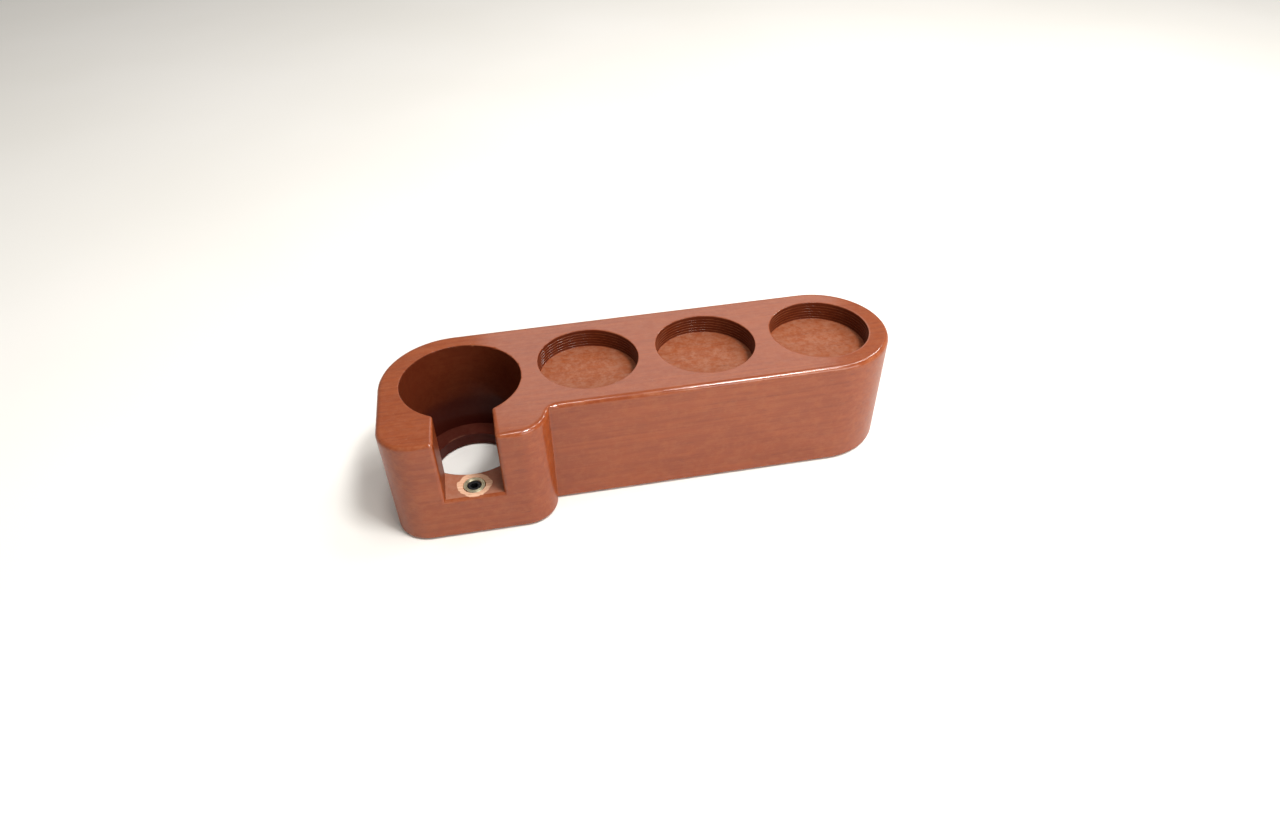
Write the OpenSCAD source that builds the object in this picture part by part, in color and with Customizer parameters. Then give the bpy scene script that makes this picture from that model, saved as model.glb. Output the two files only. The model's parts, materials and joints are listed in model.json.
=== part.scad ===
// Wooden espresso tamping station.
// A solid wood block holds a portafilter in a slotted bore and has a row of round recesses
// for tampers. A set screw in the floor of the slot holds the portafilter's neck level.
//
// The origin is at the bottom centre of the bounding box. +X runs along the block, from the
// bore to the rounded end, -Y is the front, where the slot opens, and +Z is up.

/* [Block] */
// Overall length
block_length = 310; // [306:1:340]
// Width of the bar that carries the recesses
bar_width = 84; // [80:1:90]
// Width of the head, along the length of the block
head_width = 95.5; // [94:0.5:100]
// Overall depth of the head, from the back to the slot's mouth
head_depth = 103.8; // [102:0.1:112]
// Height of the wood, without the feet
block_height = 70; // [60:1:80]
// Radius of the head's back corner
back_corner_r = 46; // [20:1:48]
// Radius of the rounding along the upper edges
top_edge_r = 3; // [1:0.5:4]

/* [Portafilter bore] */
// Diameter of the bore
bore_d = 70.8; // [68:0.1:74]
// Distance of the bore's axis from the left side
bore_from_left = 48; // [46:0.5:50]
// Distance of the bore's axis from the back
bore_from_back = 47.5; // [45:0.5:50]
// Thickness of the wood under the bore
bore_floor = 8.5; // [6:0.5:14]
// Diameter of the hole through the bore's floor
floor_hole_d = 50; // [30:1:60]

/* [Slot for the neck] */
// Width of the slot
slot_width = 33.2; // [28:0.1:38]
// Height of the slot's floor above the bottom of the wood
slot_floor = 27.7; // [24:0.1:40]

/* [Recesses] */
// Number of recesses
recess_count = 3; // [1:1:3]
// Diameter of each recess
recess_d = 60; // [54:0.5:64]
// Depth of the recess at the rounded end
recess_depth = 12; // [6:0.5:20]
// How much shallower each recess is than the one before it
recess_step = 0.1; // [0:0.1:1]
// Distance between the centres of two recesses
recess_pitch = 71.9; // [66:0.1:73]

/* [Leveling screw] */
// Distance of the screw's axis from the slot's mouth
screw_from_front = 11; // [9:0.5:12]
// Thread diameter of the screw
screw_d = 8; // [6:1:8]
// Length of the screw
screw_length = 16; // [12:1:18]
// Distance across the flats of the screw's hexagon socket
socket_flats = 4; // [2:0.5:4]
// Outer diameter of the threaded insert
insert_d = 12.8; // [12:0.1:14]
// Length of the threaded insert
insert_length = 18; // [16:1:20]

/* [Feet] */
// Number of feet, at the places listed in foot_places
foot_count = 6; // [4:1:6]
// Diameter of each foot
foot_d = 16; // [10:1:18]
// Thickness of each foot
foot_h = 1; // [1:0.5:3]

/* [Hidden] */
$fn = 96;

// Small overlap that keeps a cut from ending exactly on a face
eps = 0.5;

// Heights above the surface that the block stands on
wood_bottom = foot_h;
wood_top = foot_h + block_height;
bore_bottom = wood_bottom + bore_floor;
slot_bottom = wood_bottom + slot_floor;

// The four sides of the block, and the inner corner where the head meets the bar
left = -block_length / 2;
right = block_length / 2;
back = head_depth / 2;
front = -head_depth / 2;
bar_front = back - bar_width;
head_right = left + head_width;

// The bar's end is half a circle, and the last recess is concentric with it
end_r = bar_width / 2;
row_y = back - end_r;
end_x = right - end_r;

// The head stands forward of the bar by this much, which is also its front corners' radius
front_corner_r = bar_front - front;

// Axis of the portafilter bore, which the slot and the screw share in X
bore_x = left + bore_from_left;
bore_y = back - bore_from_back;
screw_y = front + screw_from_front;

// The rounding of the upper edge can't follow the sharp inner corner. It sweeps past it in an
// arc that touches the head's corner and the bar's front, sized so that the arc's centre and
// the corner's centre lie on a 7-24-25 triangle.
sweep_r = front_corner_r * 7 / 18;
sweep_x = head_right + front_corner_r / 3;
sweep_angle = asin(7 / 25);

// How far the screw's top lies below the slot's floor, and the clearance around the screw
screw_sunk = 0.5;
screw_gap = 0.05;
socket_depth = 4.5;
screw_chamfer = 0.9;

// Ridges on the outside of the insert, and how much deeper its hole is than the insert
ridge_h = 0.8;
ridge_pitch = 3;
insert_hole_extra = 1;

// Centres of the feet
foot_places = [
    [left + 16, front + 16],
    [right - 28, back - 20],
    [left + 21, back - 20],
    [right - 28, bar_front + 20],
    [head_right - 16, front + 16],
    [0, back - 16]
];

// The block seen from above

// What a rounded corner takes off a square one. The circle's centre is at the origin, and the
// corner lies in the quadrant that sx and sy name.
module corner_cut(r, sx, sy) {
    difference() {
        scale([sx, sy]) square(r + eps);
        circle(r);
    }
}

module head_outline() {
    difference() {
        translate([left, front]) square([head_width, head_depth]);
        translate([left + back_corner_r, back - back_corner_r])
            corner_cut(back_corner_r, -1, 1);
        translate([left + front_corner_r, bar_front]) corner_cut(front_corner_r, -1, -1);
        translate([head_right - front_corner_r, bar_front])
            corner_cut(front_corner_r, 1, -1);
    }
}

module bar_outline() {
    translate([bore_x, bar_front]) square([end_x - bore_x, bar_width]);
    translate([end_x, row_y]) circle(end_r);
}

// Cutters that round the upper edges

// What the rounding takes off an edge that stands at x = 0, with the wood on the side of -x
module edge_profile() {
    difference() {
        translate([-top_edge_r, wood_top - top_edge_r]) square(top_edge_r + eps);
        translate([-top_edge_r, wood_top - top_edge_r]) circle(top_edge_r);
    }
}

// A straight edge from (x, y), running the given length in the given direction, with the wood
// on its left
module straight_edge(x, y, length, direction) {
    translate([x, y, 0]) rotate([90, 0, direction + 90])
        linear_extrude(length) mirror([1, 0]) edge_profile();
}

// An edge that curves round wood of radius r, from one angle to the other
module outer_edge(x, y, r, from, to) {
    translate([x, y, 0]) rotate([0, 0, from])
        rotate_extrude(angle = to - from) translate([r, 0]) edge_profile();
}

// The same, where the wood lies outside the radius
module inner_edge(x, y, r, from, to) {
    translate([x, y, 0]) rotate([0, 0, from])
        rotate_extrude(angle = to - from) translate([r, 0]) mirror([1, 0]) edge_profile();
}

module rounded_edges() {
    right_centre = head_right - front_corner_r;
    left_centre = left + front_corner_r;
    straight_edge(end_x, back, end_x - left - back_corner_r, 180);
    outer_edge(left + back_corner_r, back - back_corner_r, back_corner_r, 90, 180);
    straight_edge(left, back - back_corner_r, back - back_corner_r - bar_front, 270);
    outer_edge(left_centre, bar_front, front_corner_r, 180, 270);
    straight_edge(left_centre, front, right_centre - left_centre, 0);
    outer_edge(right_centre, bar_front, front_corner_r, -90, -sweep_angle);
    inner_edge(sweep_x, bar_front - sweep_r, sweep_r, 90, 180 - sweep_angle);
    straight_edge(sweep_x, bar_front, end_x - sweep_x, 0);
    outer_edge(end_x, row_y, end_r, -90, 90);
}

// Sub-parts

module wood_block() {
    color([0.55, 0.27, 0.16])
    difference() {
        translate([0, 0, wood_bottom]) linear_extrude(block_height) {
            head_outline();
            bar_outline();
        }
        rounded_edges();
        // Portafilter bore, and the hole through its floor
        translate([bore_x, bore_y, bore_bottom])
            cylinder(d = bore_d, h = wood_top - bore_bottom + eps);
        translate([bore_x, bore_y, wood_bottom - eps])
            cylinder(d = floor_hole_d, h = bore_floor + 2 * eps);
        // Slot for the neck
        translate([bore_x - slot_width / 2, front - eps, slot_bottom])
            cube([slot_width, bore_y - front + eps, wood_top - slot_bottom + eps]);
        // Tool recesses, from the rounded end
        for (i = [0 : recess_count - 1])
            translate([end_x - i * recess_pitch, row_y, wood_top - recess_depth + i * recess_step])
                cylinder(d = recess_d, h = recess_depth + eps);
        // Hole that the threaded insert sits in
        translate([bore_x, screw_y, slot_bottom - insert_length - insert_hole_extra])
            cylinder(d = insert_d, h = insert_length + insert_hole_extra + eps);
    }
}

// A plain collar at the top, and ridges that grip the wood below it
module insert_profile() {
    inner = screw_d / 2 + screw_gap;
    outer = insert_d / 2;
    ridges = floor((insert_length - ridge_pitch) / ridge_pitch);
    translate([inner, 0]) square([outer - ridge_h - inner, insert_length]);
    translate([inner, insert_length - ridge_pitch])
        square([outer - inner, ridge_pitch]);
    for (i = [0 : ridges - 1])
        translate([outer - ridge_h, i * ridge_pitch])
            polygon([[-ridge_h, 0], [0, 0], [ridge_h, ridge_pitch / 2], [0, ridge_pitch],
                [-ridge_h, ridge_pitch]]);
}

module threaded_insert() {
    color([0.78, 0.72, 0.50])
    translate([bore_x, screw_y, slot_bottom - insert_length])
        rotate_extrude() insert_profile();
}

module leveling_screw() {
    r = screw_d / 2;
    color([0.08, 0.08, 0.09])
    translate([bore_x, screw_y, slot_bottom - screw_sunk - screw_length])
        difference() {
            rotate_extrude() polygon([[0, 0], [r - screw_chamfer, 0], [r, screw_chamfer],
                [r, screw_length - screw_chamfer], [r - screw_chamfer, screw_length],
                [0, screw_length]]);
            translate([0, 0, screw_length - socket_depth])
                cylinder(d = socket_flats / cos(30), h = socket_depth + eps, $fn = 6);
        }
}

module foot(place) {
    color([0.12, 0.12, 0.12])
    translate([place[0], place[1], 0]) cylinder(d = foot_d, h = foot_h);
}

wood_block();
threaded_insert();
leveling_screw();
for (i = [1:foot_count])
    foot(foot_places[i - 1]);
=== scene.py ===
# Looks of the wooden espresso tamping station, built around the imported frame.
import json
import math
from collections import namedtuple

import bmesh
import bpy
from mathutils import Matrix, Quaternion, Vector, geometry


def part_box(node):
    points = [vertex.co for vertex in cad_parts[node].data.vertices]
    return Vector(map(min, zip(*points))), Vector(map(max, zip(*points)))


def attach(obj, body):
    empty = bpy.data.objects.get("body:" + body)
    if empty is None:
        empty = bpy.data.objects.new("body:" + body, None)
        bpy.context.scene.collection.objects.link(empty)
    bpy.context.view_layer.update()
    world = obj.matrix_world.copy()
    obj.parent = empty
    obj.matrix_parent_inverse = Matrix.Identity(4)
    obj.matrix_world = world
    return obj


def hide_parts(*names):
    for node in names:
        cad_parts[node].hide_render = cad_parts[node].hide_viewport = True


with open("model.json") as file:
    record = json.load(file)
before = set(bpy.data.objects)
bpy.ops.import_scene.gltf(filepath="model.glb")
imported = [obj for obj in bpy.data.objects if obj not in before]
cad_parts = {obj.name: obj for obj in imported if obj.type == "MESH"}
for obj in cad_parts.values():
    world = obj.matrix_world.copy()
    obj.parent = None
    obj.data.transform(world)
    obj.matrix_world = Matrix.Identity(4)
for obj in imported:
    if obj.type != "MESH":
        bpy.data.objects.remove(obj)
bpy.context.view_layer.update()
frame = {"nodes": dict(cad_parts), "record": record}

MM = 0.001

# Sizes and places, in millimetres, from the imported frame

MOUNTS = {m["name"]: m for m in frame["record"]["mounts"]}
BLOCK_LOW, BLOCK_HIGH = (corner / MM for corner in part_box("wood_block"))
INSERT_LOW, INSERT_HIGH = (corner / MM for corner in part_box("threaded_insert"))
SCREW_LOW, SCREW_HIGH = (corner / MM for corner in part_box("leveling_screw"))


def mount_place(name):
    """Axis, radius and length of a round mount."""
    mount = MOUNTS[name]
    x, y, _ = mount["pos_m"]
    return x / MM, y / MM, mount["dims"]["r_mm"], mount["dims"]["length_mm"]


LEFT, RIGHT = BLOCK_LOW.x, -BLOCK_LOW.x
FRONT, BACK = BLOCK_LOW.y, BLOCK_HIGH.y
BOTTOM, TOP = BLOCK_LOW.z, BLOCK_HIGH.z
BORE_X, BORE_Y, BORE_R, BORE_DEPTH = mount_place("portafilter_bore")
HOLE_R = MOUNTS["floor_hole"]["dims"]["r_mm"]
BORE_FLOOR = TOP - BORE_DEPTH
SILL = INSERT_HIGH.z
SCREW_Y = (INSERT_LOW.y + INSERT_HIGH.y) / 2

# The frame doesn't state these, so they repeat the design's own sizes
BAR_WIDTH = 84
HEAD_WIDTH = 95.5
BACK_CORNER_R = 46
SLOT_HALF = 16.6
TOP_EDGE_R = 3.0
SCREW_GAP = 0.05
SOCKET_FLATS = 4.0

BAR_FRONT = BACK - BAR_WIDTH
END_R = BAR_WIDTH / 2
END_X = RIGHT - END_R
ROW_Y = BACK - END_R
HEAD_RIGHT = LEFT + HEAD_WIDTH
FRONT_CORNER_R = BAR_FRONT - FRONT
INSERT_R = (INSERT_HIGH.x - INSERT_LOW.x) / 2
SCREW_R = (SCREW_HIGH.x - SCREW_LOW.x) / 2

# The top edge's rounding passes the inner corner on an arc round this centre
SWEEP_R = FRONT_CORNER_R * 7 / 18
SWEEP_X = HEAD_RIGHT + FRONT_CORNER_R / 3
SWEEP_Y = BAR_FRONT - SWEEP_R
SWEEP_ANGLE = math.degrees(math.asin(7 / 25))

# Small roundings that the design leaves sharp
SLOT_EDGE_R = 2.8
BASE_EDGE_R = 1.0
CREASE_R = 1.0
SLOT_FILLET_R = 2.0
RIM_R = 0.45

# Faces across a rounded edge
EDGE_STEPS = 7
# Distance from an edge's rounding to the row of vertices that keeps the flat beside it flat
SUPPORT = 0.7


# Mesh making

class Shell:
    """A closed surface, gathered face by face in millimetres and welded at the end."""

    def __init__(self):
        self.mesh = bmesh.new()

    def face(self, points):
        self.mesh.faces.new([self.mesh.verts.new(p) for p in points])

    def strip(self, row_a, row_b, closed=False):
        """Four-sided faces between two rows of equally many points."""
        count = len(row_a)
        for i in range(count if closed else count - 1):
            j = (i + 1) % count
            self.face([row_a[i], row_a[j], row_b[j], row_b[i]])

    def strips(self, rows, closed=False):
        for row_a, row_b in zip(rows, rows[1:]):
            self.strip(row_a, row_b, closed)

    def fill(self, outline, *holes):
        """Triangles over a flat outline with holes in it."""
        loops = [outline, *holes]
        points = [p for loop in loops for p in loop]
        for triangle in geometry.tessellate_polygon([[Vector(p) for p in loop] for loop in loops]):
            self.face([points[i] for i in triangle])

    def piece(self, name, material, body, slot, *nodes, sharp=38):
        """The finished object, which stands for the named nodes and rides on the body."""
        bmesh.ops.remove_doubles(self.mesh, verts=self.mesh.verts, dist=0.002)
        bmesh.ops.dissolve_degenerate(self.mesh, edges=self.mesh.edges, dist=0.0005)
        bmesh.ops.recalc_face_normals(self.mesh, faces=self.mesh.faces)
        bmesh.ops.scale(self.mesh, vec=(MM, MM, MM), verts=self.mesh.verts)
        data = bpy.data.meshes.new(name)
        self.mesh.to_mesh(data)
        self.mesh.free()
        data.shade_smooth()
        data.set_sharp_from_angle(angle=math.radians(sharp))
        data.materials.append(material)
        piece = bpy.data.objects.new(name, data)
        bpy.context.scene.collection.objects.link(piece)
        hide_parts(*nodes)
        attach(piece, body)
        return piece


def circle(x, y, r, z, count, turn=0.0):
    """Points round a circle. r may be a function of the angle."""
    angles = [turn + math.tau * i / count for i in range(count)]
    radii = [r(a) if callable(r) else r for a in angles]
    return [(x + s * math.cos(a), y + s * math.sin(a), z) for a, s in zip(angles, radii)]


def quarter(steps):
    """Angles from 0 to a right angle."""
    return [math.pi / 2 * i / steps for i in range(steps + 1)]


def mix(a, b, t):
    return a + (b - a) * t


# The block's outline. Each vertex has its inward normal, the radius of the rounding above it,
# and how far the rounding's sweep keeps clear of it.

Vertex = namedtuple("Vertex", "x y nx ny rounding clear")


def arc(x, y, r, start, end, count, rounding, hollow=False):
    """Vertices along an arc. rounding is a number or a function of the share along the arc."""
    found = []
    for i in range(count + 1):
        share = i / count
        angle = math.radians(mix(start, end, share))
        cos, sin = math.cos(angle), math.sin(angle)
        side = 1 if hollow else -1
        edge = rounding(share) if callable(rounding) else rounding
        found.append(Vertex(x + r * cos, y + r * sin, side * cos, side * sin, edge, 0.0))
    return found


def smooth_min(a, b, k):
    h = max(k - abs(a - b), 0) / k
    return min(a, b) - h * h * k / 4


def inner_corner(count):
    """The tight inner corner between head and bar, seen from the centre of the sweep."""
    apart = FRONT_CORNER_R + SWEEP_R
    far = 99
    found = []
    for i in range(count + 1):
        degrees = mix(180 - SWEEP_ANGLE, 90, i / count)
        angle = math.radians(degrees)
        to_bar = SWEEP_R / math.sin(angle)
        off = math.radians(degrees - 180 + SWEEP_ANGLE)
        reach = FRONT_CORNER_R ** 2 - (apart * math.sin(off)) ** 2
        to_head = apart * math.cos(off) - math.sqrt(reach) if reach > 0 else math.inf
        ends = math.sin(math.pi * i / count)
        wall = smooth_min(to_bar, min(to_head, far), CREASE_R * ends + 1e-6)
        cos, sin = math.cos(angle), math.sin(angle)
        found.append(Vertex(SWEEP_X + wall * cos, SWEEP_Y + wall * sin, cos, sin,
                            TOP_EDGE_R, wall - SWEEP_R))
    return found


def towards(a, b, distance):
    """A vertex on the straight from a to b, that far from a."""
    share = distance / math.hypot(b.x - a.x, b.y - a.y)
    return a._replace(x=mix(a.x, b.x, share), y=mix(a.y, b.y, share),
                      rounding=mix(a.rounding, b.rounding, share))


def joined(stretches):
    """One path through the stretches, with support vertices at the ends of each straight."""
    path = list(stretches[0])
    for stretch in stretches[1:]:
        a, b = path[-1], stretch[0]
        if math.hypot(b.x - a.x, b.y - a.y) > 3 * SUPPORT:
            path += [towards(a, b, SUPPORT), towards(b, a, SUPPORT)]
            path += stretch
        else:
            path += stretch[1:]
    return path


def chipped(share):
    """The bore's rim is broken a little, with small chips at its back."""
    wave = math.sin(share * 93) + math.sin(share * 151 + 1) + math.sin(share * 241 + 2)
    return RIM_R + 0.7 * max(wave - 0.9, 0) * math.sin(math.pi * share) ** 2


def block_paths():
    """The block's outline in four paths: the outside from the slot's right lip round to its left,
    the left lip, the slot and bore inside, and the right lip. Also the angle, seen from the bore's
    axis, at which the fillets of the slot meet the bore."""
    slot_right, slot_left = BORE_X + SLOT_HALF, BORE_X - SLOT_HALF
    lip_y = FRONT + SLOT_EDGE_R
    # Centre height of the fillets between the slot's walls and the bore
    across = SLOT_HALF + SLOT_FILLET_R
    fillet_y = BORE_Y - math.sqrt((BORE_R + SLOT_FILLET_R) ** 2 - across ** 2)
    turn = math.degrees(math.atan2(BORE_Y - fillet_y, across))
    right_lip = arc(slot_right + SLOT_EDGE_R, lip_y, SLOT_EDGE_R, 180, 270, EDGE_STEPS,
                    SLOT_EDGE_R - SUPPORT)
    left_lip = arc(slot_left - SLOT_EDGE_R, lip_y, SLOT_EDGE_R, 270, 360, EDGE_STEPS,
                   SLOT_EDGE_R - SUPPORT)
    outer = joined([
        right_lip[-1:],
        arc(HEAD_RIGHT - FRONT_CORNER_R, BAR_FRONT, FRONT_CORNER_R, -90, -SWEEP_ANGLE, 16,
            TOP_EDGE_R),
        inner_corner(44),
        arc(END_X, ROW_Y, END_R, -90, 90, 56, TOP_EDGE_R),
        arc(LEFT + BACK_CORNER_R, BACK - BACK_CORNER_R, BACK_CORNER_R, 90, 180, 36, TOP_EDGE_R),
        arc(LEFT + FRONT_CORNER_R, BAR_FRONT, FRONT_CORNER_R, 180, 270, 18, TOP_EDGE_R),
        left_lip[:1],
    ])
    slot_round = SLOT_FILLET_R - SUPPORT
    inner = joined([
        left_lip[-1:],
        arc(slot_left - SLOT_FILLET_R, fillet_y, SLOT_FILLET_R, 0, turn, 6,
            lambda t: mix(slot_round, RIM_R, t)),
        arc(BORE_X, BORE_Y, BORE_R, 180 + turn, -turn, 160, chipped, hollow=True),
        arc(slot_right + SLOT_FILLET_R, fillet_y, SLOT_FILLET_R, 180 - turn, 180, 6,
            lambda t: mix(RIM_R, slot_round, t)),
        right_lip[:1],
    ])
    return outer, left_lip, inner, right_lip, turn


def ring(path, offset, height):
    """The path moved inward by offset(vertex), at height(vertex)."""
    return [(v.x + v.nx * offset(v), v.y + v.ny * offset(v), height(v)) for v in path]


def top_rings(path):
    """The rounding up to the top face, and a support row on the face."""
    rings = []
    for a in quarter(EDGE_STEPS):
        def offset(v, a=a):
            depth = v.rounding * (1 - math.cos(a)) - v.clear
            # A soft maximum of the depth and 0, where the sweep keeps clear of the wall
            soft = min(v.clear, 0.5)
            return depth if soft == 0 else max(depth, 0) + soft / 4 * math.exp(-abs(depth) / soft)
        rings.append(ring(path, offset, lambda v, a=a: TOP - v.rounding * (1 - math.sin(a))))
    rings.append(ring(path, lambda v: max(v.rounding - v.clear, 0) + SUPPORT, lambda v: TOP))
    return rings


def wall_rows(path, heights):
    """The upright wall at the given heights, and a support row under the top rounding."""
    rows = [ring(path, lambda v: 0.0, lambda v, z=z: z) for z in heights]
    rows.append(ring(path, lambda v: 0.0, lambda v: TOP - v.rounding - SUPPORT))
    return rows


def recess(shell, name):
    """One tool recess, with the fine steps that its cutter left. Returns its edge in the top."""
    x, y, r, depth = mount_place(name)
    count = 120
    rows = [circle(x, y, r + RIM_R + SUPPORT, TOP, count)]
    for a in reversed(quarter(3)):
        rows.append(circle(x, y, r + RIM_R * (1 - math.cos(a)), TOP - RIM_R * (1 - math.sin(a)),
                           count))
    passes = 6
    step = (depth - RIM_R) / passes
    groove = 0.25
    for i in range(1, passes):
        z = TOP - RIM_R - i * step
        rows.append(circle(x, y, r, z + groove, count))
        rows.append(circle(x, y, r + groove * 1.6, z, count))
        rows.append(circle(x, y, r, z - groove, count))
    floor, floor_r = TOP - depth, 0.5
    for a in quarter(3):
        rows.append(circle(x, y, r - floor_r * (1 - math.cos(a)),
                           floor + floor_r * (1 - math.sin(a)), count))
    rows.append(circle(x, y, r - floor_r - SUPPORT, floor, count))
    shell.strips(rows, closed=True)
    shell.face(rows[-1])
    return rows[0]


def middle_heights():
    """Heights of the rows between the sill and the top, which all the upright walls share."""
    return [mix(SILL, TOP, t) for t in (0.2, 0.5, 0.8)]


def top_face(shell, loop):
    """The rounded top edge, and the flat top with the recesses in it. Returns the lowest row."""
    rings = top_rings(loop)
    shell.strips(rings, closed=True)
    holes = [recess(shell, f"recess_{i}") for i in (1, 2, 3)]
    shell.fill(rings[-1], *holes)
    return rings[0]


def outer_wall(shell, outer, edge):
    """The outer wall up to the given row, and its rounding below. Returns the bottom outline."""
    low = BOTTOM + BASE_EDGE_R
    lip_low = SILL - SLOT_EDGE_R
    base = [ring(outer, lambda v, a=a: BASE_EDGE_R * (1 - math.cos(a)),
                 lambda v, a=a: low - BASE_EDGE_R * math.sin(a)) for a in quarter(3)]
    base.append(ring(outer, lambda v: BASE_EDGE_R + SUPPORT, lambda v: BOTTOM))
    shell.strips(base, closed=True)
    heights = [low, low + SUPPORT, lip_low - SUPPORT, lip_low]
    shell.strips(wall_rows(outer, heights + middle_heights()) + [edge])
    # Front wall under the slot
    ends = [outer[-1], outer[0]]
    shell.strips([ring(ends, lambda v: 0.0, lambda v, z=z: z) for z in heights])
    return base[-1]


def slot_lips(shell, left_lip, right_lip):
    """Rounded lips of the slot, down both sides and across under it."""
    def columns(lip):
        found = []
        for v in lip:
            drop = abs(v.x - BORE_X) - SLOT_HALF
            heights = [SILL - drop] + middle_heights()
            heights += [TOP - v.rounding - SUPPORT, TOP - v.rounding]
            found.append([(v.x, v.y, z) for z in heights])
        return found
    right_columns, left_columns = columns(right_lip[::-1]), columns(left_lip)
    shell.strips(right_columns)
    shell.strips(left_columns)
    shell.strips([[a[0], b[0]] for a, b in zip(left_columns, right_columns)])


def upper_bore(shell, inner):
    """The slot's walls, and the bore's wall above the sill."""
    rim = ring(inner, lambda v: 0.0, lambda v: TOP - v.rounding)
    shell.strips(wall_rows(inner, [SILL] + middle_heights()) + [rim])


def sill_rim(shell, turn):
    """The rounded rim between sill and bore, which fades out at the slot's walls. Returns its
    path and its top row."""
    path = arc(BORE_X, BORE_Y, BORE_R, 180 + turn, 360 - turn, 30,
               lambda t: 0.9 * math.sin(math.pi * t) ** 0.5, hollow=True)
    rows = [ring(path, lambda v, a=a: v.rounding * (1 - math.cos(a)),
                 lambda v, a=a: SILL - v.rounding * (1 - math.sin(a))) for a in quarter(4)]
    shell.strips(rows)
    return path, rows[-1]


def lower_bore(shell, bore, rim, base):
    """The bore below the sill, its floor, the hole through it, and the bottom face."""
    rim = rim[::-1][1:-1]
    under = bore + rim
    heights = [SILL] * len(bore) + [SILL - v.rounding for v in rim]
    shell.strip([(v.x, v.y, z) for v, z in zip(under, heights)],
                ring(under, lambda v: 0.0, lambda v: BORE_FLOOR), closed=True)

    def inward(radius, z):
        return ring(under, lambda v: radius - BORE_R, lambda v: z)
    chamfer = 0.5
    shell.strips([inward(BORE_R, BORE_FLOOR), inward(HOLE_R + chamfer + SUPPORT, BORE_FLOOR),
                  inward(HOLE_R + chamfer, BORE_FLOOR), inward(HOLE_R, BORE_FLOOR - chamfer),
                  inward(HOLE_R, BOTTOM + chamfer), inward(HOLE_R + chamfer, BOTTOM)],
                 closed=True)
    shell.fill(base, inward(HOLE_R + chamfer, BOTTOM))


def slot_floor(shell, inner, bore, rim_top):
    """The sill, with the chamfered hole for the insert."""
    chamfer_width, chamfer_depth, hole_extra = 0.4, 0.7, 1
    rows = [circle(BORE_X, SCREW_Y, INSERT_R + chamfer_width, SILL, 64),
            circle(BORE_X, SCREW_Y, INSERT_R, SILL - chamfer_depth, 64),
            circle(BORE_X, SCREW_Y, INSERT_R, INSERT_LOW.z - hole_extra, 64)]
    shell.strips(rows, closed=True)
    shell.face(rows[-1])
    flat = ring(inner, lambda v: 0.0, lambda v: SILL)
    first = next(i for i, v in enumerate(inner) if v is bore[0])
    last = next(i for i, v in enumerate(inner) if v is bore[-1])
    shell.fill(flat[:first] + rim_top + flat[last + 1:], rows[0])


def wood_block(material):
    shell = Shell()
    outer, left_lip, inner, right_lip, turn = block_paths()
    edge = top_face(shell, outer + left_lip[1:-1] + inner + right_lip[1:-1])
    base = outer_wall(shell, outer, edge[:len(outer)])
    slot_lips(shell, left_lip, right_lip)
    upper_bore(shell, inner)
    rim, rim_top = sill_rim(shell, turn)
    bore = [v for v in inner if abs(math.hypot(v.x - BORE_X, v.y - BORE_Y) - BORE_R) < 0.001]
    lower_bore(shell, bore, rim, base)
    slot_floor(shell, inner, bore, rim_top)
    return shell.piece("wood_block_shape", material, "station", "stained_wood", "wood_block")


def insert(material):
    """The threaded insert: a flat collar, a turned groove, and rings down its outside."""
    shell = Shell()
    r = INSERT_R
    bore = SCREW_R + SCREW_GAP
    top, low = INSERT_HIGH.z, INSERT_LOW.z
    collar = 3
    profile = [(bore, low), (bore, top - 0.35), (bore + 0.35, top), (bore + 0.85, top),
               (bore + 0.95, top - 0.15), (bore + 1.1, top - 0.15), (bore + 1.2, top),
               (r - 0.3, top), (r - 0.05, top - 0.25), (r - 0.05, top - collar)]
    ridges = 5
    pitch = (top - collar - low) / ridges
    for i in range(ridges):
        z = top - collar - i * pitch
        profile += [(r - 0.8, z - 0.2), (r - 0.8, z - pitch * 0.4), (r - 0.05, z - pitch * 0.7),
                    (r - 0.8, z - pitch)]
    rows = [circle(BORE_X, SCREW_Y, s, z, 72) for s, z in profile]
    shell.strips(rows + rows[:1], closed=True)
    return shell.piece("threaded_insert_shape", material, "station", "zinc_plate",
                       "threaded_insert", sharp=30)


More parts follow.
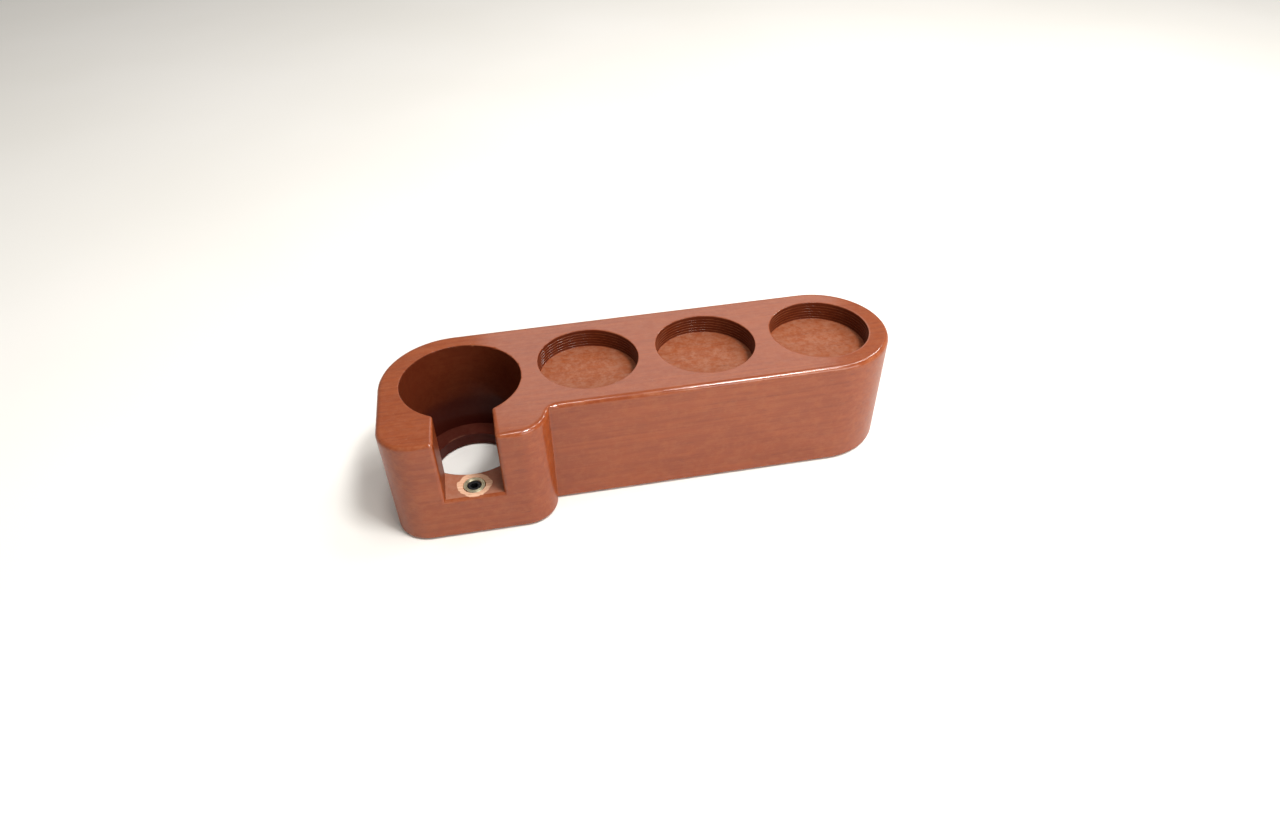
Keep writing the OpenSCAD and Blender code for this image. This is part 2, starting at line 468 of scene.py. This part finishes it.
def screw(material):
    """The set screw, with a real thread, chamfered ends and a hexagon socket."""
    shell = Shell()
    top, low = SCREW_HIGH.z, SCREW_LOW.z
    r = SCREW_R
    pitch, thread_depth, chamfer = 1.25, 0.68, 0.5
    socket, socket_chamfer, drill_point, drill_tip_r = 4.0, 0.4, 0.8, 0.2
    top_face_r = 2.75
    count, rows_a_pitch = 48, 8

    def thread(z):
        end = r - chamfer + min(z - low, top - z)
        def radius(angle):
            phase = ((z - low) / pitch - angle / math.tau) % 1
            ridge = min(max(2 * abs(phase - 0.5) * 1.5 - 0.2, 0), 1)
            return min(r - thread_depth * (1 - ridge), end)
        return radius

    def hexagon(flats):
        def radius(angle):
            return flats / 2 / math.cos(angle % math.radians(60) - math.radians(30))
        return radius
    steps = round((top - low) / pitch * rows_a_pitch)
    heights = [mix(low, top, i / steps) for i in range(steps + 1)]
    rows = [circle(BORE_X, SCREW_Y, r - chamfer - 0.6, low, count)]
    rows += [circle(BORE_X, SCREW_Y, thread(z), z, count) for z in heights]
    rows += [circle(BORE_X, SCREW_Y, top_face_r, top, count),
             circle(BORE_X, SCREW_Y, hexagon(SOCKET_FLATS + 0.5), top, count),
             circle(BORE_X, SCREW_Y, hexagon(SOCKET_FLATS), top - socket_chamfer, count),
             circle(BORE_X, SCREW_Y, hexagon(SOCKET_FLATS), top - socket, count),
             circle(BORE_X, SCREW_Y, hexagon(SOCKET_FLATS * 0.9), top - socket, count),
             circle(BORE_X, SCREW_Y, drill_tip_r, top - socket - drill_point, count)]
    shell.strips(rows, closed=True)
    shell.face(rows[0])
    shell.face(rows[-1])
    return shell.piece("leveling_screw_shape", material, "screw", "black_steel",
                       "leveling_screw", sharp=30)


def foot(name, material):
    """A stick-on rubber disc with a rounded edge and a shallow ring in its underside."""
    shell = Shell()
    low, high = (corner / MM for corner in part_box(name))
    x, y = (low.x + high.x) / 2, (low.y + high.y) / 2
    r, h = (high.x - low.x) / 2, high.z - low.z
    soft = h * 0.35
    profile = [(r - 0.3, h), (r, h - 0.15)]
    profile += [(r - soft * (1 - math.cos(a)), soft * (1 - math.sin(a))) for a in quarter(4)]
    profile += [(r * 0.7, 0), (r * 0.66, h * 0.2), (r * 0.56, h * 0.2), (r * 0.52, 0),
                (r * 0.2, 0)]
    rows = [circle(x, y, s, z, 48) for s, z in profile]
    shell.strips(rows, closed=True)
    shell.face(rows[0])
    shell.face(rows[-1])
    return shell.piece(f"{name}_shape", material, "station", "foot_rubber", name, sharp=50)


# Materials

class Nodes:
    """A material's node tree, with short ways to add to it."""

    def __init__(self, name, **values):
        self.material = bpy.data.materials.new(name)
        self.material.use_nodes = True
        self.tree = self.material.node_tree
        self.shader = self.tree.nodes["Principled BSDF"]
        for key, value in values.items():
            self.shader.inputs[key.replace("_", " ")].default_value = value
        self.place = self.add("ShaderNodeTexCoord").outputs["Object"]
        self.axes = list(self.add("ShaderNodeSeparateXYZ", {0: self.place}).outputs)

    def add(self, kind, inputs=(), **settings):
        node = self.tree.nodes.new(kind)
        for key, value in settings.items():
            setattr(node, key, value)
        for key, value in dict(inputs).items():
            if isinstance(value, bpy.types.NodeSocket):
                self.tree.links.new(value, node.inputs[key])
            else:
                node.inputs[key].default_value = value
        return node

    def math(self, operation, a, b=0.0, clamp=False):
        node = self.add("ShaderNodeMath", {0: a, 1: b}, operation=operation, use_clamp=clamp)
        return node.outputs[0]

    def length(self, a, b):
        """Length of the diagonal whose sides are a and b."""
        squares = self.math("ADD", self.math("MULTIPLY", a, a), self.math("MULTIPLY", b, b))
        return self.math("SQRT", squares)

    def distance(self, x, y):
        """Distance in metres from the upright line through x and y, in millimetres."""
        return self.length(self.math("SUBTRACT", self.axes[0], x * MM),
                           self.math("SUBTRACT", self.axes[1], y * MM))

    def noise(self, scale, detail=3.0, roughness=0.5, distortion=0.0):
        """Noise of that many features a metre along X, Y and Z."""
        place = self.add("ShaderNodeMapping", {"Vector": self.place, "Scale": scale})
        node = self.add("ShaderNodeTexNoise", {
            "Vector": place.outputs[0], "Scale": 1.0, "Detail": detail,
            "Roughness": roughness, "Distortion": distortion})
        return node.outputs["Fac"]

    def step(self, value, low, high, out_low=0.0, out_high=1.0):
        """A smooth change from out_low to out_high as value goes from low to high."""
        node = self.add("ShaderNodeMapRange", {
            "Value": value, "From Min": low, "From Max": high,
            "To Min": out_low, "To Max": out_high}, interpolation_type="SMOOTHSTEP")
        return node.outputs[0]

    def blend(self, factor, a, b, how="MIX"):
        node = self.add("ShaderNodeMix", data_type="RGBA", blend_type=how)
        sockets = [s for s in node.inputs if s.enabled]
        for socket, value in zip(sockets, (factor, a, b)):
            if isinstance(value, bpy.types.NodeSocket):
                self.tree.links.new(value, socket)
            else:
                socket.default_value = value
        return next(s for s in node.outputs if s.enabled)

    def bump(self, height, distance, strength=1.0, under=None):
        inputs = {"Height": height, "Distance": distance * MM, "Strength": strength}
        if under is not None:
            inputs["Normal"] = under
        return self.add("ShaderNodeBump", inputs).outputs[0]

    def feed(self, **sockets):
        for key, value in sockets.items():
            self.tree.links.new(value, self.shader.inputs[key.replace("_", " ")])
        return self.material


def grain_colour(n, fibre, streak, blotch, pores):
    """Colour of the stained grain, with layers of growth round an axis below the block."""
    _, y, z = n.axes
    sway = n.math("MULTIPLY", n.noise((5, 14, 14), 2), 0.03)
    age = n.math("ADD", n.length(n.math("ADD", y, 0.05), n.math("ADD", z, 0.16)), sway)
    layer_thickness = 0.0065
    layers = n.math("SINE", n.math("MULTIPLY", age, math.tau / layer_thickness))
    layers = n.step(layers, -1, 1)
    fleck = n.noise((170, 420, 260), 4, 0.75)

    colour = n.blend(n.step(streak, 0.3, 0.7), (0.205, 0.036, 0.006, 1), (0.27, 0.052, 0.010, 1))
    colour = n.blend(n.math("MULTIPLY", layers, 0.12), colour, (0.20, 0.031, 0.005, 1))
    colour = n.blend(n.step(fibre, 0.35, 0.7, 0.0, 0.25), colour, (0.38, 0.088, 0.018, 1))
    colour = n.blend(n.step(blotch, 0.35, 0.7, 0.0, 0.35), colour, (0.19, 0.029, 0.005, 1))
    colour = n.blend(n.step(fleck, 0.42, 0.66, 0.0, 0.3), colour, (0.34, 0.092, 0.026, 1))
    return n.blend(n.math("MULTIPLY", pores, 0.45), colour, (0.09, 0.018, 0.008, 1))


def painted_hollow_shade(n, tilt):
    """Painted shade: how dark the hollows are painted, on the upright walls of the slot and the
    hollows, and all over the lower part of the bore. The underside is left out."""
    x, y, z = n.axes
    level = n.math("ABSOLUTE", tilt)
    upright = n.step(level, 0.7, 0.98, 1.0, 0.0)
    deep = n.step(z, (TOP - 45) * MM, (TOP - 14) * MM, 1.3, 0.0)
    deep = n.math("MULTIPLY", deep, n.step(tilt, -0.95, -0.5))
    from_slot = n.math("ABSOLUTE", n.math("SUBTRACT", x, BORE_X * MM))
    in_slot = n.step(from_slot, (SLOT_HALF + 0.1) * MM, (SLOT_HALF + 0.6) * MM, 1.0, 0.0)
    in_slot = n.math("MULTIPLY", in_slot, n.math("LESS_THAN", y, BORE_Y * MM))
    in_slot = n.math("MULTIPLY", in_slot, n.math("GREATER_THAN", z, SILL * MM))
    shaded_hollows = n.math("MULTIPLY", in_slot, n.step(level, 0.1, 0.5, 0.6, 0.0))
    for name in ("portafilter_bore", "recess_1", "recess_2", "recess_3"):
        cx, cy, r, _ = mount_place(name)
        inside = n.step(n.distance(cx, cy), (r + 0.3) * MM, (r + 0.9) * MM, 1.0, 0.0)
        shaded_hollows = n.math("MAXIMUM", shaded_hollows,
                        n.math("MULTIPLY", inside, n.math("MAXIMUM", upright, deep)))
    return shaded_hollows


def settled_dust(n, tilt, low, shaded_hollows):
    """How much dust lies on the faces that look up, with more of it in the recesses."""
    speck = n.step(n.noise((1400, 1400, 1400), 1, 0.5), 0.74, 0.80)
    film = n.step(n.noise((210, 210, 210), 5, 0.75), 0.3, 0.8, 0.02, 0.10)
    film = n.math("MULTIPLY", film, n.math("ADD", n.math("MULTIPLY", low, 4.0), 1.0))
    dust = n.math("ADD", n.math("MULTIPLY", speck, 0.35), film)
    dust = n.math("MULTIPLY", dust, n.step(tilt, 0.9, 0.99))
    return n.math("MULTIPLY", dust, n.step(shaded_hollows, 0.0, 0.5, 1.0, 0.1))


def stained_wood():
    """Fine-grained wood, stained red-brown under a satin varnish, its grain along X."""
    n = Nodes("stained_wood", Coat_IOR=2.2, Coat_Roughness=0.12, Specular_IOR_Level=0.05)
    z = n.axes[2]
    facing = n.add("ShaderNodeSeparateXYZ", {0: n.add("ShaderNodeNewGeometry").outputs["Normal"]})
    tilt = facing.outputs[2]
    fibre = n.noise((9, 900, 900), 4, 0.65)
    streak = n.noise((20, 420, 420), 4, 0.7)
    blotch = n.noise((16, 30, 30), 3, 0.55)
    pores = n.step(n.noise((70, 1500, 1500), 2, 0.5), 0.66, 0.74)

    # Painted shade on the flat top and in the hollows
    colour = grain_colour(n, fibre, streak, blotch, pores)
    # Painted shade: the faces that look up are darkened a little
    colour = n.blend(n.step(tilt, 0.85, 1.0, 0.0, 0.14), colour, (0.14, 0.026, 0.006, 1))
    shaded_hollows = painted_hollow_shade(n, tilt)
    # Painted shade in the slot, the bore and the recesses
    colour = n.blend(n.math("MULTIPLY", shaded_hollows, 0.7), colour, (0.045, 0.006, 0.005, 1))

    # Varnish is thin in the hollows and on their floors
    low = n.step(z, (TOP - 10) * MM, (TOP - 5) * MM, 1.0, 0.0)
    dull = n.math("MAXIMUM", shaded_hollows, n.math("MULTIPLY", low, n.step(tilt, 0.8, 0.95)))
    varnish = n.step(dull, 0.0, 0.8, 0.3, 0.02)

    # Wear on the rounded top edges
    edge = n.math("MULTIPLY", n.step(tilt, 0.12, 0.5), n.step(tilt, 0.98, 0.8))
    worn = n.math("MULTIPLY", edge, n.step(n.noise((60, 60, 60), 4, 0.7), 0.42, 0.68))
    colour = n.blend(n.math("MULTIPLY", worn, 0.2), colour, (0.62, 0.27, 0.14, 1))

    # The sill is painted paler where the portafilter's neck rests: partly rubbed dull wear, partly
    # a painted sheen
    on_sill = n.step(n.math("ABSOLUTE", n.math("SUBTRACT", z, SILL * MM)), 0.0002, 0.0006, 1.0, 0.0)
    rubbed_and_sheen = n.math("MULTIPLY", on_sill, n.step(blotch, 0.25, 0.75, 0.2, 0.45))
    # Painted sheen and wear on the sill's flat
    colour = n.blend(n.math("MULTIPLY", rubbed_and_sheen, n.step(tilt, 0.9, 0.99)), colour,
                     (0.42, 0.19, 0.13, 1))

    # Bare wood in a ragged ring round the insert
    ragged = n.math("MULTIPLY", n.noise((170, 170, 170), 3, 0.6), 0.0035)
    bare = n.step(n.math("ADD", n.distance(BORE_X, SCREW_Y), ragged), 0.0113, 0.0118, 1.0, 0.0)
    bare = n.math("MULTIPLY", bare, on_sill)
    raw = n.blend(n.step(fibre, 0.35, 0.65), (0.72, 0.40, 0.25, 1), (0.86, 0.56, 0.38, 1))
    colour = n.blend(bare, colour, raw)
    colour = n.blend(settled_dust(n, tilt, low, shaded_hollows), colour, (0.42, 0.225, 0.15, 1))

    rough = n.math("ADD", n.step(streak, 0.3, 0.7, 0.36, 0.48), n.math("MULTIPLY", bare, 0.3))
    height = n.math("SUBTRACT", n.math("MULTIPLY", fibre, 0.4), pores)
    waves = n.bump(n.noise((14, 26, 26), 2), 0.35)
    return n.feed(Base_Color=colour, Roughness=rough, Coat_Weight=varnish,
                  Normal=n.bump(height, 0.05, 0.5, waves))


def zinc_plate():
    """Yellow zinc plating over steel, turned and lightly scratched."""
    n = Nodes("zinc_plate", Metallic=1.0)
    tone = n.noise((300, 300, 300), 4, 0.6)
    scratch = n.noise((2500, 400, 400), 3, 0.6)
    colour = n.blend(n.step(tone, 0.3, 0.7), (0.50, 0.45, 0.30, 1), (0.68, 0.62, 0.44, 1))
    colour = n.blend(n.step(scratch, 0.55, 0.75, 0.0, 0.3), colour, (0.40, 0.35, 0.24, 1))
    rough = n.step(scratch, 0.3, 0.7, 0.30, 0.50)
    return n.feed(Base_Color=colour, Roughness=rough, Normal=n.bump(scratch, 0.02, 0.6))


def black_steel():
    """Oiled black oxide on steel, rubbed brighter in places."""
    n = Nodes("black_steel", Metallic=0.6)
    grain = n.noise((700, 700, 700), 4, 0.6)
    rub = n.step(n.noise((260, 260, 260), 3, 0.7), 0.58, 0.76, 0.0, 0.4)
    colour = n.blend(rub, (0.018, 0.018, 0.02, 1), (0.09, 0.09, 0.095, 1))
    rough = n.step(grain, 0.3, 0.7, 0.28, 0.46)
    return n.feed(Base_Color=colour, Roughness=rough, Normal=n.bump(grain, 0.02, 0.5))


def foot_rubber():
    """Black rubber with a fine moulded grain and a little dust."""
    n = Nodes("foot_rubber")
    grain = n.noise((1800, 1800, 1800), 2, 0.5)
    dust = n.step(n.noise((200, 200, 200), 4, 0.6), 0.5, 0.75, 0.0, 0.35)
    colour = n.blend(dust, (0.022, 0.022, 0.024, 1), (0.085, 0.08, 0.075, 1))
    rough = n.step(grain, 0.3, 0.7, 0.72, 0.88)
    return n.feed(Base_Color=colour, Roughness=rough, Normal=n.bump(grain, 0.03, 0.6))


def table_top():
    """The pale table that the station stands on."""
    n = Nodes("table_top", Roughness=0.6)
    tone = n.noise((3, 3, 3), 2)
    colour = n.blend(n.step(tone, 0.3, 0.7), (0.89, 0.87, 0.82, 1), (0.92, 0.90, 0.86, 1))
    return n.feed(Base_Color=colour)


# Stage, lights and camera

# Where the camera stands
EYE = Vector((-76.1, -415.4, 369.2)) * MM


def stage():
    """A flat table, far wider than the view."""
    data = bpy.data.meshes.new("table")
    half = 3.0
    data.from_pydata([(-half, -half, 0), (half, -half, 0), (half, half, 0), (-half, half, 0)],
                     [], [(0, 1, 2, 3)])
    data.materials.append(table_top())
    table = bpy.data.objects.new("table", data)
    bpy.context.scene.collection.objects.link(table)


def area_light(name, place, aim, size, power, colour=(1, 1, 1)):
    data = bpy.data.lights.new(name, "AREA")
    data.shape = "RECTANGLE"
    data.size, data.size_y = size
    data.energy = power
    data.color = colour
    light = bpy.data.objects.new(name, data)
    light.location = place
    light.rotation_euler = (Vector(aim) - Vector(place)).to_track_quat("-Z", "Y").to_euler()
    bpy.context.scene.collection.objects.link(light)


def lights():
    world = bpy.data.worlds.new("room")
    world.use_nodes = True
    background = world.node_tree.nodes["Background"]
    background.inputs["Color"].default_value = (1.0, 0.975, 0.94, 1)
    background.inputs["Strength"].default_value = 0.36
    bpy.context.scene.world = world
    area_light("ceiling", (0.46, -0.45, 1.4), (0, 0, 0.05), (0.35, 0.2), 15)
    area_light("fill", (0.5, -0.75, 0.45), (0.05, 0, 0.03), (0.7, 0.4), 4, (1.0, 0.96, 0.90))
    area_light("window", (0.3, 1.4, 1.0), (0, 0, 0.05), (0.9, 0.5), 2.4, (1.0, 0.97, 0.93))
    edge_lamps()


def edge_lamps():
    """A row of lamps that the head's rounded edge mirrors to the camera as a line of light."""
    corner = Vector((HEAD_RIGHT - FRONT_CORNER_R, BAR_FRONT, TOP)) * MM
    to_eye = (EYE - corner).normalized()
    slope = math.radians(30)
    away = 1.5
    for degrees in range(-85, -20, 15):
        turn = math.radians(degrees)
        facing = Vector((math.sin(slope) * math.cos(turn), math.sin(slope) * math.sin(turn),
                         math.cos(slope)))
        ahead = 2 * to_eye.dot(facing) * facing - to_eye
        area_light("lamp", corner + away * ahead, corner, (0.2, 0.2), 2.6, (1.0, 0.98, 0.95))


def camera():
    """Wide lens, close above the head's front, looking down along the block."""
    data = bpy.data.cameras.new("camera")
    data.sensor_width = 36
    data.lens = 24.355
    data.shift_x = 0.0120
    data.shift_y = 0.0369
    eye = bpy.data.objects.new("camera", data)
    eye.location = EYE
    down, right, roll = (math.radians(a) for a in (41.94, 8.69, 2.23))
    ahead = Vector((math.cos(down) * math.sin(right), math.cos(down) * math.cos(right),
                    -math.sin(down)))
    eye.rotation_mode = "QUATERNION"
    eye.rotation_quaternion = ahead.to_track_quat("-Z", "Y") @ Quaternion((0, 0, 1), -roll)
    bpy.context.scene.collection.objects.link(eye)
    bpy.context.scene.camera = eye


camera()
stage()
lights()
bpy.context.scene.view_settings.view_transform = "Standard"

wood_block(stained_wood())
insert(zinc_plate())
screw(black_steel())
rubber = foot_rubber()
for node in frame["nodes"]:
    if node.startswith("foot_"):
        foot(node, rubber)
